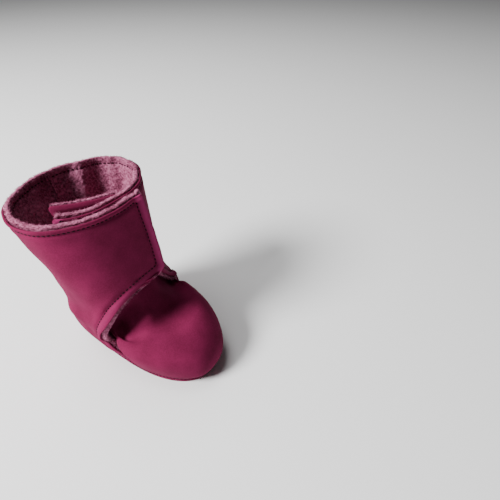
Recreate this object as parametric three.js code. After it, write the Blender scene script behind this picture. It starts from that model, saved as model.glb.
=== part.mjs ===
import * as THREE from "three";
import { mergeVertices } from "three/addons/utils/BufferGeometryUtils.js";

// A wrap bootie for a baby's right foot, in millimetres. Z is up and the sole rests on Z = 0.
// The toe points to -Y, the inner side of the foot is +X and the outer side is -X.
// Every piece of cloth lies at a stated depth under one body form, the shape of the closed bootie.

// Overall sizes of the closed bootie
const FOOT_LENGTH = 118;
const SOLE_WIDTH = 57;
const TOE_HEIGHT = 32;
const ANKLE_WIDTH = 63;
const SHAFT_HEIGHT = 106;
const RIM_WIDTH = 79;
const RIM_LENGTH = 64;
const SIDE_BULGE = 4;

// Cloth and trim
const SHELL = 1.4;
const FLEECE = 2.6;
const GAP = 0.3;
const TAPE = 0.9;
const THREAD = 0.35;
const THREAD_WIDTH = 0.7;
const THREAD_LIFT = 0.35;
const STITCH_INSET = 4.5;
const OUTSOLE_THICKNESS = 2.1;
const INSOLE_THICKNESS = 3;
const CORNER_RADIUS = 7;

// Depth of each layer where the wrap closes over the instep, from the tongue out to the flap
const PANEL = SHELL + GAP + FLEECE;
const OUTER_RISE = 3.8;
const OUTER_RIM_RISE = 0.8;
const INNER_LEAN = 6.5;
const INNER_DEPTH = PANEL + 2 * TAPE + 3 * GAP - 0.1 - OUTER_RISE;
const TONGUE_DEPTH = INNER_DEPTH + PANEL + 1;
const SIDE_TUCK = PANEL + 1.2;

// Heights of the cloth edges, as shares of the way up the form
const HEM = 0.035;
const LINING_HEM = 0.088;
const FOLD_FOOT = 0.385;
const FLAP_FOOT = 0.4;
const OUTER_FLAP_LOW = 0.78;
const INNER_FLAP_LOW = 0.765;
const VAMP_TOP = 0.78;
const TONGUE_FOOT = 0.79;

// Edges of the panels round the form, in degrees from the middle of the instep
const OUTER_FREE_TOP = 23;
const OUTER_FREE_LOW = 16;
const INNER_FREE_TOP = 59;
const INNER_FREE_LOW = 44;
const VAMP_TUCKED = 13;

const DEG = Math.PI / 180;
const clamp = (x) => Math.min(1, Math.max(0, x));
const mix = (a, b, t) => a + (b - a) * t;
const ease = (x) => clamp(x) ** 2 * (3 - 2 * clamp(x));

// The form is drawn through eight rings, from the sole to the rim.
// A ring is [front y, front z, back y, back z, half width, squareness].
const TOE = -0.56 * FOOT_LENGTH;
const HEEL = TOE + FOOT_LENGTH;
const ANKLE = [-0.197 * FOOT_LENGTH, 0.384 * FOOT_LENGTH];
const RIM_MIDDLE = 0.17 * FOOT_LENGTH;
const RIM = [RIM_MIDDLE - RIM_LENGTH / 2, RIM_MIDDLE + RIM_LENGTH / 2];
const RINGS = [
  [TOE + 5, 0.5, HEEL - 4, 0.5, SOLE_WIDTH / 2 - 4, 2.4],
  [TOE, 0.32 * TOE_HEIGHT, HEEL, 12, SOLE_WIDTH / 2, 2.3],
  [TOE + 4, 0.7 * TOE_HEIGHT, HEEL - 1, 24, SOLE_WIDTH / 2 + SIDE_BULGE, 2.2],
  [TOE + 0.144 * FOOT_LENGTH, 0.97 * TOE_HEIGHT, HEEL - 4, 34, SOLE_WIDTH / 2 + SIDE_BULGE - 0.6, 2.15],
  [TOE + 0.305 * FOOT_LENGTH, 1.08 * TOE_HEIGHT, HEEL - 6, 43, ANKLE_WIDTH / 2 + 0.4, 2.1],
  [ANKLE[0], 0.5 * SHAFT_HEIGHT, ANKLE[1], 0.555 * SHAFT_HEIGHT, ANKLE_WIDTH / 2, 2],
  [
    mix(ANKLE[0], RIM[0], 0.38) + 1,
    0.69 * SHAFT_HEIGHT,
    mix(ANKLE[1], RIM[1], 0.4) - 2,
    0.73 * SHAFT_HEIGHT,
    mix(ANKLE_WIDTH, RIM_WIDTH, 0.4) / 2,
    2,
  ],
  [RIM[0], SHAFT_HEIGHT, RIM[1], SHAFT_HEIGHT, RIM_WIDTH / 2, 2],
];
// The heel of the sole is a little narrower than the toe.
const HEEL_TAPER = 0.06;

// One number of a ring at height s, by a smooth curve through the eight rings.
function ringValue(s, k) {
  const last = RINGS.length - 1;
  const x = clamp(s) * last;
  const i = Math.min(Math.floor(x), last - 1);
  const t = x - i;
  const b = RINGS[i][k];
  const c = RINGS[i + 1][k];
  const a = i > 0 ? RINGS[i - 1][k] : 2 * b - c;
  const d = i + 2 <= last ? RINGS[i + 2][k] : 2 * c - b;
  const cubic = (3 * b - a - 3 * c + d) * t ** 3;
  return 0.5 * (2 * b + (c - a) * t + (2 * a - 5 * b + 4 * c - d) * t * t + cubic);
}

// A point of the form: a in degrees round from the instep, positive to the inner side; s up.
function form(a, s) {
  const [frontY, frontZ, backY, backZ, half, square] = [0, 1, 2, 3, 4, 5].map((k) => ringValue(s, k));
  const c = Math.cos(a * DEG);
  const n = Math.sin(a * DEG);
  const along = Math.sign(c) * Math.abs(c) ** (2 / square);
  const across = Math.sign(n) * Math.abs(n) ** (2 / square);
  const t = (1 - along) / 2;
  const taper = 1 - HEEL_TAPER * (2 * t - 1) * (1 - ease(s / 0.6));
  return new THREE.Vector3(half * across * taper, mix(frontY, backY, t), mix(frontZ, backZ, t));
}

// Direction out of the form, evened out over a small area so that layers stay parallel.
function outward(a, s) {
  const round = form(a + 4, s).sub(form(a - 4, s));
  const up = form(a, Math.min(1, s + 0.05)).sub(form(a, Math.max(0, s - 0.05)));
  return round.cross(up).normalize();
}

const lifted = (a, s, d) => form(a, s).addScaledVector(outward(a, s), d);

// The fold of each flap is straight: it leans back as it rises and stands outside the cloth.
const FOLD_LOW_Z = 30;
const FOLD_LOW_Y = -0.08 * FOOT_LENGTH;
const FOLD_LEAN = (RIM_MIDDLE - FOLD_LOW_Y) / (SHAFT_HEIGHT - FOLD_LOW_Z);

// Angle of the fold round the form at height s, moved back by a distance.
function foldAngle(s, back) {
  const [frontY, frontZ, backY, backZ, , square] = [0, 1, 2, 3, 4, 5].map((k) => ringValue(s, k));
  const wanted = FOLD_LOW_Y + FOLD_LEAN * (frontZ - FOLD_LOW_Z) + back - frontY;
  const t = wanted / (backY - frontY - FOLD_LEAN * (backZ - frontZ));
  const along = 1 - 2 * t;
  return Math.acos(Math.sign(along) * Math.abs(along) ** (square / 2)) / DEG;
}

// A thin box whose two large faces are cut into triangles along the same diagonals.
function thinBox(nu, nv) {
  const geometry = new THREE.BoxGeometry(1, 1, 1, nu, nv, 1);
  geometry.deleteAttribute("normal");
  geometry.deleteAttribute("uv");
  const { start, count } = geometry.groups[5];
  const index = geometry.index.array;
  for (let i = start; i < start + count; i += 6) {
    const [a, b, d, , c] = index.slice(i, i + 5);
    index.set([a, b, c, a, c, d], i);
  }
  return geometry;
}

// A closed sheet of cloth: at(u, v, depth) gives the point at a depth under its outer face.
function sheet(nu, nv, at, outer, thickness) {
  const geometry = thinBox(nu, nv);
  const p = geometry.getAttribute("position");
  for (let i = 0; i < p.count; i++) {
    const depth = outer + (p.getZ(i) < 0 ? thickness : 0);
    const q = at(p.getX(i) + 0.5, p.getY(i) + 0.5, depth);
    p.setXYZ(i, q.x, q.y, q.z);
  }
  return mergeVertices(geometry, 1e-4);
}
// Cloth that follows the form: place(u, v) gives [a, s], top(a, s) the lift of its outer face.
const onForm = (place, top) => (u, v, depth) => {
  const [a, s] = place(u, v);
  return lifted(a, s, top(a, s) - depth);
};

// A flat run of thread along a path of (u, v) points, lying on the outer face of a sheet.
function threadRun(points, at) {
  const n = points.length - 1;
  const geometry = thinBox(n, 1);
  const p = geometry.getAttribute("position");
  const on = points.map((q) => at(q.x, q.y, 0));
  for (let i = 0; i < p.count; i++) {
    const k = Math.round((p.getX(i) + 0.5) * n);
    const normal = on[k].clone().sub(at(points[k].x, points[k].y, 1));
    const along = on[Math.min(n, k + 1)].clone().sub(on[Math.max(0, k - 1)]);
    const side = normal.clone().cross(along).normalize();
    const q = on[k].clone().addScaledVector(side, p.getY(i) * THREAD_WIDTH);
    q.addScaledVector(normal, THREAD_LIFT + (p.getZ(i) < 0 ? 0 : THREAD));
    p.setXYZ(i, q.x, q.y, q.z);
  }
  return mergeVertices(geometry, 1e-4);
}

const even = (n, at) => Array.from({ length: n + 1 }, (_, i) => at(i / n));
const bunched = (v) => 0.5 - 0.5 * Math.cos(Math.PI * v);
const millimetresRound = (s) => (Math.PI / 360) * (ringValue(s, 4) + (ringValue(s, 2) - ringValue(s, 0)) / 2);

// How far a rounded corner pulls an edge in, for a height v and the corner's share of the height.
function rounding(v, share) {
  const low = clamp(1 - v / share);
  const high = clamp(1 - (1 - v) / share);
  return 2 - Math.sqrt(1 - low * low) - Math.sqrt(1 - high * high);
}

const FOLD_GAP = 0.35;

// Front edge of a side panel: along the fold, then straight down to the sole.
const panelFront = (s) => foldAngle(Math.max(s, FOLD_FOOT), FOLD_GAP);
const SEWN_FRONT = panelFront(FOLD_FOOT);

// The lower edge of each flap sweeps from the instep down to the side of the foot.
const sweep = (a, top, power) => top - (top - FLAP_FOOT) * clamp(a / SEWN_FRONT) ** power;
const outerLow = (a) => sweep(Math.abs(a), OUTER_FLAP_LOW, 2.2);
const innerLow = (a) => sweep(a, INNER_FLAP_LOW, 1.9);
const CORNER_SHARE = CORNER_RADIUS / (0.4 * SHAFT_HEIGHT);

// Outer flap: u runs from its fold to its free edge.
function outerFlapAt(u, v) {
  let s = mix(FLAP_FOOT, 1, v);
  let a = 0;
  for (let k = 0; k < 12; k++) {
    const corner = (CORNER_RADIUS * rounding(v, CORNER_SHARE)) / millimetresRound(s);
    const free = mix(OUTER_FREE_LOW, OUTER_FREE_TOP, v) - corner;
    a = mix(-foldAngle(s, -FOLD_GAP), free, u);
    s = mix(outerLow(a), 1, v);
  }
  return [a, s];
}

// Inner flap: u runs from its free edge, under the outer flap, to its fold.
function innerFlapAt(u, v) {
  let s = mix(FLAP_FOOT, 1, v);
  let a = 0;
  for (let k = 0; k < 12; k++) {
    const corner = (CORNER_RADIUS * rounding(v, CORNER_SHARE)) / millimetresRound(s);
    const free = corner - mix(INNER_FREE_LOW, INNER_FREE_TOP, v);
    a = mix(free, foldAngle(s, -FOLD_GAP), u);
    s = mix(innerLow(a), 1, v);
  }
  return [a, s];
}

// Heights of the rows of a side panel.
// The lining starts one row above the shell, on top of the insole.
const PANEL_ROWS = [HEM, LINING_HEM, 0.17, 0.25, 0.32, FOLD_FOOT, 0.45, 0.52, 0.59, 0.65, 0.71, 0.78, 0.86, 0.93, 1];
const PANEL_STEPS = PANEL_ROWS.length - 1;
const panelRow = (v, first) => PANEL_ROWS[first + Math.round(v * (PANEL_STEPS - first))];
const lateralPanelAt = (first) => (u, v) => {
  const s = panelRow(v, first);
  return [mix(-180 + 0.25, -panelFront(s), u), s];
};
const medialPanelAt = (first) => (u, v) => {
  const s = panelRow(v, first);
  return [mix(panelFront(s), 180 - 0.25, u), s];
};

// Vamp: it ends edge to edge with the side panels at the hem and is tucked under them above it.
const VAMP_STEPS = 14;
const vampEdge = (s) =>
  SEWN_FRONT - 1 + VAMP_TUCKED * ease((s - 0.1) / 0.06) - 36 * ease((s - 0.42) / 0.36);
const vampAt = (first) => (u, v) => {
  const row = first + v * (VAMP_STEPS - first);
  const s = row <= 1 ? mix(HEM, LINING_HEM, row) : mix(LINING_HEM, VAMP_TOP, (row - 1) / (VAMP_STEPS - 1));
  return [mix(-vampEdge(s), vampEdge(s), u), s];
};
function vampTop(a, s) {
  const side = ease((Math.abs(a) - SEWN_FRONT + 21) / 17) * ease((s - 0.06) / 0.04);
  const aside = ease(Math.abs(a) / 74);
  const instep = ease((s - mix(0.49, 0.34, aside)) / mix(0.15, 0.28, aside));
  return -(SIDE_TUCK * side * (1 - instep) + TONGUE_DEPTH * instep);
}

// The vamp's lining hangs looser where the vamp is tucked in.
const VAMP_LINING_EASE = 1.4;
const vampLiningTop = (a, s) => vampTop(a, s) * VAMP_LINING_EASE;

// Tongue: its foot lies under the flaps and its top leans into the opening, on a straight line.
const TONGUE_FOOT_ENDS = [-42, 36];
const TONGUE_TOP_FRONT = RIM[0] + TONGUE_DEPTH + INNER_LEAN - 1.2;
const TONGUE_TOP_ENDS = [
  new THREE.Vector3(-0.25 * RIM_WIDTH, RIM_MIDDLE + 2, SHAFT_HEIGHT - 1),
  new THREE.Vector3(0.135 * RIM_WIDTH, TONGUE_TOP_FRONT, SHAFT_HEIGHT - 2),
];
function tongueMiddle(u, v) {
  const corner = 0.1 * (1 - Math.sqrt(1 - clamp(1 - (1 - v) / 0.16) ** 2));
  const across = mix(corner, 1 - corner, u);
  const a = mix(...TONGUE_FOOT_ENDS, across);
  const s = TONGUE_FOOT + 0.03 * (a / 42) ** 2;
  const foot = lifted(a, s, -TONGUE_DEPTH);
  const top = TONGUE_TOP_ENDS[0].clone().lerp(TONGUE_TOP_ENDS[1], across);
  top.y -= 10 * across * (1 - across);
  return foot.lerp(top, v);
}
function tongueAt(u, v, depth) {
  const near = (x) => Math.min(0.98, Math.max(0.02, x));
  const [x, y] = [near(u), near(v)];
  const round = tongueMiddle(x + 0.02, y).sub(tongueMiddle(x - 0.02, y));
  const up = tongueMiddle(x, y + 0.02).sub(tongueMiddle(x, y - 0.02));
  return tongueMiddle(u, v).addScaledVector(round.cross(up).normalize(), -depth);
}

// Lift of each panel's outer face. Near the rim the flaps part and the inner one leans inwards.
const atRim = (s) => ease((s - 0.86) / 0.14);
const flush = () => 0;
const outerTop = (a, s) => mix(OUTER_RISE, OUTER_RIM_RISE, atRim(s)) * ease((a + 88) / 42);
const innerLean = (a, s) => INNER_LEAN * atRim(s) * ease((45 - a) / 50);
const innerTop = (a, s) => -INNER_DEPTH * ease((88 - a) / 42) - innerLean(a, s);

const BERRY = { color: 0x8e2f58, roughness: 0.72, metalness: 0 };
const MAUVE = { color: 0xb5788f, roughness: 0.95, metalness: 0 };
const STITCH = { color: 0x6f1f42, roughness: 0.8, metalness: 0 };
const TAPE_LOOK = { color: 0x7a2b4e, roughness: 0.9, metalness: 0 };

const bootie = new THREE.Group();
function add(name, geometry, look) {
  const mesh = new THREE.Mesh(geometry, new THREE.MeshStandardMaterial(look));
  mesh.name = name;
  mesh.geometry.computeVertexNormals();
  bootie.add(mesh);
}
// A panel of two layers: softshell outside, fleece inside.
function addPanel(name, nu, nv, at) {
  add(`${name}_shell`, sheet(nu, nv, at, 0, SHELL), BERRY);
  add(`${name}_lining`, sheet(nu, nv, at, SHELL + GAP, FLEECE), MAUVE);
}
// The same for a panel sewn to the sole, whose lining starts one row up.
function addSewnPanel(name, nu, nv, placeFrom, top, liningTop = top) {
  const lining = onForm(placeFrom(1), liningTop);
  add(`${name}_shell`, sheet(nu, nv, onForm(placeFrom(0), top), 0, SHELL), BERRY);
  add(`${name}_lining`, sheet(nu, nv - 1, lining, SHELL + GAP, FLEECE), MAUVE);
}

// A flat pad cut to the outline of the form at the hem, let in all round by an inset.
function pad(inset, bottom, thickness, bevel) {
  const outline = even(48, (t) => {
    const p = form(360 * t, HEM);
    const n = outward(360 * t, HEM).setZ(0).normalize();
    return new THREE.Vector2(p.x - n.x * (inset + bevel), p.y - n.y * (inset + bevel));
  }).slice(0, -1);
  const options = { depth: thickness - 2 * bevel, bevelThickness: bevel, bevelSize: bevel };
  const shape = new THREE.Shape(outline);
  const geometry = new THREE.ExtrudeGeometry(shape, { ...options, bevelSegments: 2, steps: 1 });
  geometry.translate(0, 0, bottom + bevel);
  geometry.deleteAttribute("normal");
  geometry.deleteAttribute("uv");
  return mergeVertices(geometry, 1e-4);
}

add("outsole", pad(0.2, 0, OUTSOLE_THICKNESS, 0.6), BERRY);
add("insole", pad(4.4, OUTSOLE_THICKNESS + GAP, INSOLE_THICKNESS, 0.8), MAUVE);

addSewnPanel("vamp", 26, VAMP_STEPS, vampAt, vampTop, vampLiningTop);
addSewnPanel("lateral_panel", 9, PANEL_STEPS, lateralPanelAt, flush);
addSewnPanel("medial_panel", 9, PANEL_STEPS, medialPanelAt, flush);
addPanel("tongue", 12, 8, (u, v, depth) => tongueAt(u, bunched(v), depth));
const outerFlap = onForm(outerFlapAt, outerTop);
const innerFlap = onForm(innerFlapAt, innerTop);
addPanel("outer_flap", 16, 14, (u, v, depth) => outerFlap(u, bunched(v), depth));
addPanel("inner_flap", 18, 14, (u, v, depth) => innerFlap(u, bunched(v), depth));

// Touch fastener: hooks under the outer flap meet loops on the face of the inner flap.
const tapeAt = (a0, a1, s0, s1) => (u, v) => [mix(a0, a1, u), mix(s0, s1, v)];
const hookTape = onForm(tapeAt(-9, 8, 0.8, 0.875), outerTop);
const loopTape = onForm(tapeAt(-30, 10, 0.795, 0.88), innerTop);
add("hook_tape", sheet(5, 4, hookTape, PANEL + GAP, TAPE), TAPE_LOOK);
add("loop_tape", sheet(8, 4, loopTape, -GAP - TAPE, TAPE), TAPE_LOOK);

// Topstitching. A path is drawn in shares of a flap, inset from its edges, and laid on it.
function insetPath(n, across, up, low) {
  const r = 0.07;
  const path = new THREE.Path().moveTo(0.06, 1 - up);
  path.lineTo(1 - across - r, 1 - up).quadraticCurveTo(1 - across, 1 - up, 1 - across, 1 - up - r);
  path.lineTo(1 - across, low + r).quadraticCurveTo(1 - across, low, 1 - across - r, low);
  path.lineTo(0.06, low);
  return path.getSpacedPoints(n);
}
const mirrored = (p) => new THREE.Vector2(1 - p.x, p.y);
const acrossOuter = STITCH_INSET / (115 * millimetresRound(0.9));
const acrossInner = STITCH_INSET / (150 * millimetresRound(0.9));
const upFlap = STITCH_INSET / (0.48 * SHAFT_HEIGHT);
const upTongue = STITCH_INSET / (0.47 * SHAFT_HEIGHT);
const outerRun = insetPath(44, acrossOuter, upFlap, upFlap);
const innerRun = insetPath(44, acrossInner, upFlap, upFlap).map(mirrored);
const tongueRun = insetPath(40, 0.12, upTongue, 0.06).slice(0, 28).map(mirrored);
const rimLine = 1 - STITCH_INSET / (0.28 * SHAFT_HEIGHT) / 7;
const rimRun = (side) => onForm((u) => [side * mix(panelFront(rimLine) + 1, 179, u), rimLine], flush);
const heelRun = onForm((u) => [180, mix(0.09, rimLine - 0.03, u)], flush);
const soleRun = onForm((u) => [mix(-179, 179, u), 0.062], flush);
const straight = (n) => even(n, (t) => new THREE.Vector2(t, 0));
add("outer_flap_stitching", threadRun(outerRun, outerFlap), STITCH);
add("inner_flap_stitching", threadRun(innerRun, innerFlap), STITCH);
add("tongue_stitching", threadRun(tongueRun, tongueAt), STITCH);
add("lateral_rim_stitching", threadRun(straight(14), rimRun(-1)), STITCH);
add("medial_rim_stitching", threadRun(straight(14), rimRun(1)), STITCH);
add("heel_seam_stitching", threadRun(straight(18), heelRun), STITCH);
add("sole_seam_stitching", threadRun(straight(72), soleRun), STITCH);

export default bootie;
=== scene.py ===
"""A baby's wrap bootie: fleece-lined softshell, stitching, fasteners and a padded insole."""

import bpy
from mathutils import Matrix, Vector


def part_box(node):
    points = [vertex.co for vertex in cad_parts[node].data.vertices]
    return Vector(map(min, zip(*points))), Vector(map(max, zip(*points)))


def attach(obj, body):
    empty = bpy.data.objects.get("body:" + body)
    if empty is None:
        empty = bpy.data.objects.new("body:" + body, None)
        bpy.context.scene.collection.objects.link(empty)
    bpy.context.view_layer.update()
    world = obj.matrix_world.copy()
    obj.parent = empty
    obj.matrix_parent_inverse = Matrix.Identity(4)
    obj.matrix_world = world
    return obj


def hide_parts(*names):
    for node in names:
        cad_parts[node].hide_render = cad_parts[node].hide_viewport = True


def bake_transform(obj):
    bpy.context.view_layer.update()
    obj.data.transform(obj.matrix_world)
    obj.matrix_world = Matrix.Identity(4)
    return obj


bl_info = {
    "name": "Baby Wrap Bootie",
    "version": (1, 0, 0),
    "blender": (4, 5, 0),
    "location": "3D View > Sidebar > Bootie",
    "description": "Builds the cloth, fleece, stitching and fasteners of a baby's wrap bootie",
    "category": "Object",
}

import math
from functools import partial

import bmesh
import bpy
import numpy as np
from bpy.props import FloatProperty, FloatVectorProperty, PointerProperty
from mathutils import Matrix, Vector, noise
from mathutils.bvhtree import BVHTree

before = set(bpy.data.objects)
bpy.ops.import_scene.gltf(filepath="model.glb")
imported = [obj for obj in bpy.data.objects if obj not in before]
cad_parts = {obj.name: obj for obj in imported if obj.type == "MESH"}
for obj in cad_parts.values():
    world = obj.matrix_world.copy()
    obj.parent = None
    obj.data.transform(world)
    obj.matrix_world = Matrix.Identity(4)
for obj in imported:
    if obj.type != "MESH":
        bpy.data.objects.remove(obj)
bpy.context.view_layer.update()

# Shapes are worked out in millimetres and written to the meshes in metres.
MM = 0.001


def linear(code):
    """An sRGB hex colour as the linear red, green and blue that a shader takes."""
    parts = [int(code[i : i + 2], 16) / 255 for i in (1, 3, 5)]
    return tuple(c / 12.92 if c <= 0.04045 else ((c + 0.055) / 1.055) ** 2.4 for c in parts)


def length(name, description, default_mm):
    return FloatProperty(
        name=name, description=description, default=default_mm * MM, unit="LENGTH", precision=5
    )


def colour(name, description, code):
    return FloatVectorProperty(
        name=name,
        description=description,
        default=linear(code),
        size=3,
        subtype="COLOR",
        min=0,
        max=1,
    )


class BootieSizes(bpy.types.PropertyGroup):
    """Sizes of the closed bootie and of its cloth."""

    foot_length: length("Foot length", "Sole from toe to heel", 118)
    sole_width: length("Sole width", "Width across the ball of the foot", 57)
    toe_height: length("Toe height", "Height of the toe box", 32)
    ankle_width: length("Ankle width", "Width of the shaft at the ankle", 63)
    shaft_height: length("Shaft height", "Height of the rim above the floor", 106)
    rim_width: length("Rim width", "Width of the opening", 79)
    rim_length: length("Rim length", "Opening from front to back", 64)
    side_bulge: length("Side bulge", "How far the sides swell past the sole", 4)
    shell: length("Softshell", "Thickness of the outer cloth", 1.4)
    fleece: length("Fleece", "Thickness of the lining", 2.6)
    stitch_inset: length("Stitch inset", "Topstitching from the edge of the cloth", 4.5)
    rim_inset: length("Rim inset", "Topstitching from the rim", 2.8)
    stitch_pitch: length("Stitch length", "From one stitch to the next", 2.3)
    thread_width: length("Thread width", "Width of a stitch", 0.78)


class BootieColours(bpy.types.PropertyGroup):
    """Colours of the cloth, the lining and the thread."""

    softshell: colour("Softshell", "Face of the outer cloth", "#7A1F46")
    # Painted highlight: a lighter colour laid on the flap's rolled hem, which the lamps leave dark.
    softshell_painted_highlight: colour("Softshell, rolled", "Outer cloth stretched over a rolled hem", "#A23368")
    softshell_deep: colour("Softshell, deep", "Outer cloth between the fibres", "#611635")
    fleece: colour("Fleece", "Tips of the pile", "#B46A89")
    fleece_deep: colour("Fleece, deep", "Roots of the pile", "#74384F")
    thread: colour("Thread", "Topstitching", "#2E0A1B")
    tape: colour("Fastener", "Hook and loop tape", "#6E2144")


# ---------------------------------------------------------------- small sums


def mix(a, b, t):
    return a + (b - a) * t


def ease(x):
    x = np.clip(x, 0, 1)
    return x * x * (3 - 2 * x)


def unit(v):
    return v / np.maximum(np.linalg.norm(v, axis=-1, keepdims=True), 1e-9)


def tight(t, amount=0.72):
    """Shares from 0 to 1, set closer together at both ends."""
    return t - amount * np.sin(2 * math.pi * t) / (2 * math.pi)


def smoothed(path, reach):
    """An open path with its corners rounded by a moving average."""
    for _ in range(2):
        first, last = np.repeat(path[:1], reach, 0), np.repeat(path[-1:], reach, 0)
        padded = np.concatenate([first, path, last])
        window = np.ones(2 * reach + 1) / (2 * reach + 1)
        columns = [np.convolve(column, window, "valid") for column in padded.T]
        path = np.stack(columns, -1)
    return path


def distance_to(points, line):
    """Distance from each point to the nearest point of a line."""
    blocks = np.array_split(points, 12)
    return np.concatenate([np.sqrt(((b[:, None] - line) ** 2).sum(-1).min(1)) for b in blocks])


# ---------------------------------------------------------------- the body form


class Form:
    """The shape of the closed bootie: a goes round it in degrees from the instep, s goes up it."""

    HEEL_TAPER = 0.06

    def __init__(self):
        size = bpy.context.scene.bootie_sizes
        for key in BootieSizes.__annotations__:
            setattr(self, key, getattr(size, key) / MM)
        toe = -0.56 * self.foot_length
        heel = toe + self.foot_length
        ankle = (-0.197 * self.foot_length, 0.384 * self.foot_length)
        self.rim_middle = 0.17 * self.foot_length
        rim = (self.rim_middle - self.rim_length / 2, self.rim_middle + self.rim_length / 2)
        self.rim_front = rim[0]
        half, up, side = self.sole_width / 2, self.toe_height, self.side_bulge
        high, waist, wide = self.shaft_height, self.ankle_width / 2, self.rim_width / 2
        self.rings = np.array(
            [
                [toe + 5, 0.5, heel - 4, 0.5, half - 4, 2.4],
                [toe, 0.32 * up, heel, 12, half, 2.3],
                [toe + 4, 0.7 * up, heel - 1, 24, half + side, 2.2],
                [toe + 17, 0.97 * up, heel - 4, 34, half + side - 0.6, 2.15],
                [toe + 36, 1.08 * up, heel - 6, 43, waist + 0.4, 2.1],
                [ankle[0], 0.5 * high, ankle[1], 0.555 * high, waist, 2],
                [
                    mix(ankle[0], rim[0], 0.38) + 1,
                    0.69 * high,
                    mix(ankle[1], rim[1], 0.4) - 2,
                    0.73 * high,
                    mix(waist, wide, 0.4),
                    2,
                ],
                [rim[0], high, rim[1], high, wide, 2],
            ]
        )
        self.fold_low = (-0.08 * self.foot_length, 30)
        self.fold_lean = (self.rim_middle - self.fold_low[0]) / (high - self.fold_low[1])
        self.layer = self.shell + 0.3 + self.fleece
        self.outer_rise = 3.8
        self.inner_depth = self.layer + 2 * 0.9 + 0.8 - self.outer_rise
        self.tongue_depth = self.inner_depth + self.layer + 1
        self.side_tuck = self.layer + 1.2

    def ring(self, s):
        last = len(self.rings) - 1
        x = np.clip(s, 0, 1) * last
        i = np.minimum(x.astype(int), last - 1)
        t = (x - i)[:, None]
        b, c = self.rings[i], self.rings[i + 1]
        a = np.where((i > 0)[:, None], self.rings[np.maximum(i - 1, 0)], 2 * b - c)
        d = np.where((i + 2 <= last)[:, None], self.rings[np.minimum(i + 2, last)], 2 * c - b)
        second, third = 2 * a - 5 * b + 4 * c - d, 3 * b - a - 3 * c + d
        return 0.5 * (2 * b + (c - a) * t + second * t**2 + third * t**3)

    def at(self, a, s):
        front_y, front_z, back_y, back_z, half, square = self.ring(s).T
        c, n = np.cos(np.radians(a)), np.sin(np.radians(a))
        along = np.sign(c) * np.abs(c) ** (2 / square)
        across = np.sign(n) * np.abs(n) ** (2 / square)
        t = (1 - along) / 2
        taper = 1 - self.HEEL_TAPER * (2 * t - 1) * (1 - ease(s / 0.6))
        return np.stack([half * across * taper, mix(front_y, back_y, t), mix(front_z, back_z, t)], -1)

    def outward(self, a, s):
        around = self.at(a + 4, s) - self.at(a - 4, s)
        up = self.at(a, np.minimum(1, s + 0.05)) - self.at(a, np.maximum(0, s - 0.05))
        return unit(np.cross(around, up))

    def lifted(self, a, s, d):
        return self.at(a, s) + self.outward(a, s) * np.asarray(d)[..., None]

    def point(self, a, s, d=0.0):
        return self.lifted(np.array([float(a)]), np.array([float(s)]), np.array([float(d)]))[0]

    def fold_angle(self, s, back=0.0):
        """Angle of the flaps' fold round the form at height s."""
        front_y, front_z, back_y, back_z, _, square = self.ring(s).T
        wanted = self.fold_low[0] + self.fold_lean * (front_z - self.fold_low[1]) + back - front_y
        t = wanted / (back_y - front_y - self.fold_lean * (back_z - front_z))
        along = 1 - 2 * t
        return np.degrees(np.arccos(np.sign(along) * np.abs(along) ** (square / 2)))

    def fold_span(self, half_width):
        """Two points either side of the fold line, square to it, between which cloth bends."""
        middle = np.array([0, self.fold_low[0], self.fold_low[1]])
        ahead = unit(np.array([0, -1, self.fold_lean]))
        return (middle - ahead * half_width) * MM, (middle + ahead * half_width) * MM


# ---------------------------------------------------------------- panels of cloth

# Heights on the form at which the cloth is sewn to the sole, and the flaps leave the panels.
HEM = 0.035
LINING_HEM = 0.088
FLAP_FOOT = 0.4

# Millimetres: half the width over which cloth bends at a fold, how far the sewn front edge is
# pressed in, how the pile stands at the edges, and how far inside the sole the insole ends.
BEND_REACH = 4
SEWN_PRESS = 1.8
PILE_ABOVE_RIM = 1.5
PILE_BEHIND_EDGE = 3

INSOLE_INSET = 4.9

PANEL_TUFTS = 8000
TONGUE_TUFTS = 4000


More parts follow.
